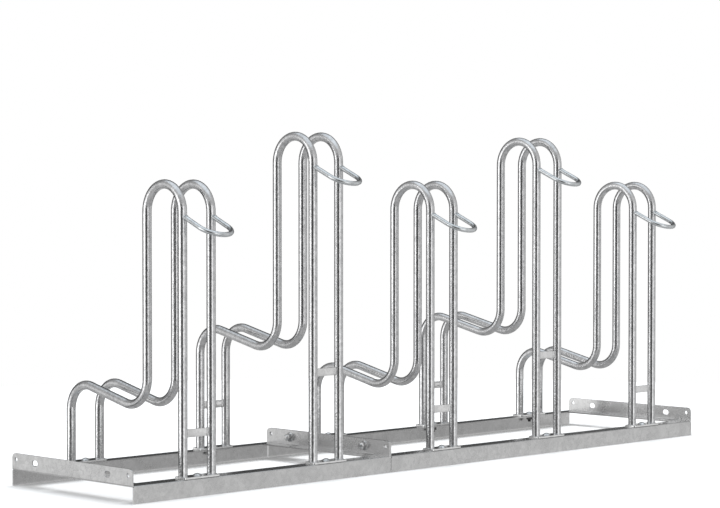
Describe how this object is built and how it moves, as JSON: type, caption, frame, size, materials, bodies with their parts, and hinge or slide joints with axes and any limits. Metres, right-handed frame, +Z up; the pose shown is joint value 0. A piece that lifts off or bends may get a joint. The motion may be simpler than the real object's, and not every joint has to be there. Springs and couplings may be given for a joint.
{
  "type": "floor bike rack",
  "caption": "Floor bike rack with alternating low and high wheel holders on a bolted angle-steel base, with loops for locks.",
  "frame": {"origin": "middle of the bounding box in X and Y, at the floor", "axes": "+X along the row from the left end to the right, +Y from the side with the lock loops to the side that the wheels come in from, +Z up"},
  "size_m": [1.7498, 0.4634, 0.7215],
  "materials": {
    "tube": "hot-dip galvanised, fine grey spangle, drawn tube",
    "angle": "hot-dip galvanised, fine grey spangle, folded angle",
    "flat": "hot-dip galvanised, fine grey spangle, flat bar",
    "bar": "hot-dip galvanised, fine grey spangle, round bar",
    "fastener": "zinc-coated bolt and nut"
  },
  "bodies": {
    "root": {"base_1_front_rail": "angle", "base_1_rear_rail": "angle", "base_1_left_crossbar": "angle", "base_1_right_crossbar": "angle", "base_2_front_rail": "angle", "base_2_rear_rail": "angle", "base_2_left_crossbar": "angle", "base_2_right_crossbar": "angle", "holder_1_left_tube": "tube", "holder_1_right_tube": "tube", "holder_1_lock_loop": "bar", "holder_1_front_strap": "flat", "holder_1_front_foot": "flat", "holder_1_rear_foot": "flat", "holder_1_front_bolt": "fastener", "holder_1_rear_bolt": "fastener", "holder_2_left_tube": "tube", "holder_2_right_tube": "tube", "holder_2_lock_loop": "bar", "holder_2_front_strap": "flat", "holder_2_front_foot": "flat", "holder_2_rear_foot": "flat", "holder_2_front_bolt": "fastener", "holder_2_rear_bolt": "fastener", "holder_2_rear_strap": "flat", "holder_3_left_tube": "tube", "holder_3_right_tube": "tube", "holder_3_lock_loop": "bar", "holder_3_front_strap": "flat", "holder_3_front_foot": "flat", "holder_3_rear_foot": "flat", "holder_3_front_bolt": "fastener", "holder_3_rear_bolt": "fastener", "holder_4_left_tube": "tube", "holder_4_right_tube": "tube", "holder_4_lock_loop": "bar", "holder_4_front_strap": "flat", "holder_4_front_foot": "flat", "holder_4_rear_foot": "flat", "holder_4_front_bolt": "fastener", "holder_4_rear_bolt": "fastener", "holder_4_rear_strap": "flat", "holder_5_left_tube": "tube", "holder_5_right_tube": "tube", "holder_5_lock_loop": "bar", "holder_5_front_strap": "flat", "holder_5_front_foot": "flat", "holder_5_rear_foot": "flat", "holder_5_front_bolt": "fastener", "holder_5_rear_bolt": "fastener", "join_1_front_bolt": "fastener", "join_1_front_nut": "fastener", "join_1_rear_bolt": "fastener", "join_1_rear_nut": "fastener"}
  },
  "joints": []
}
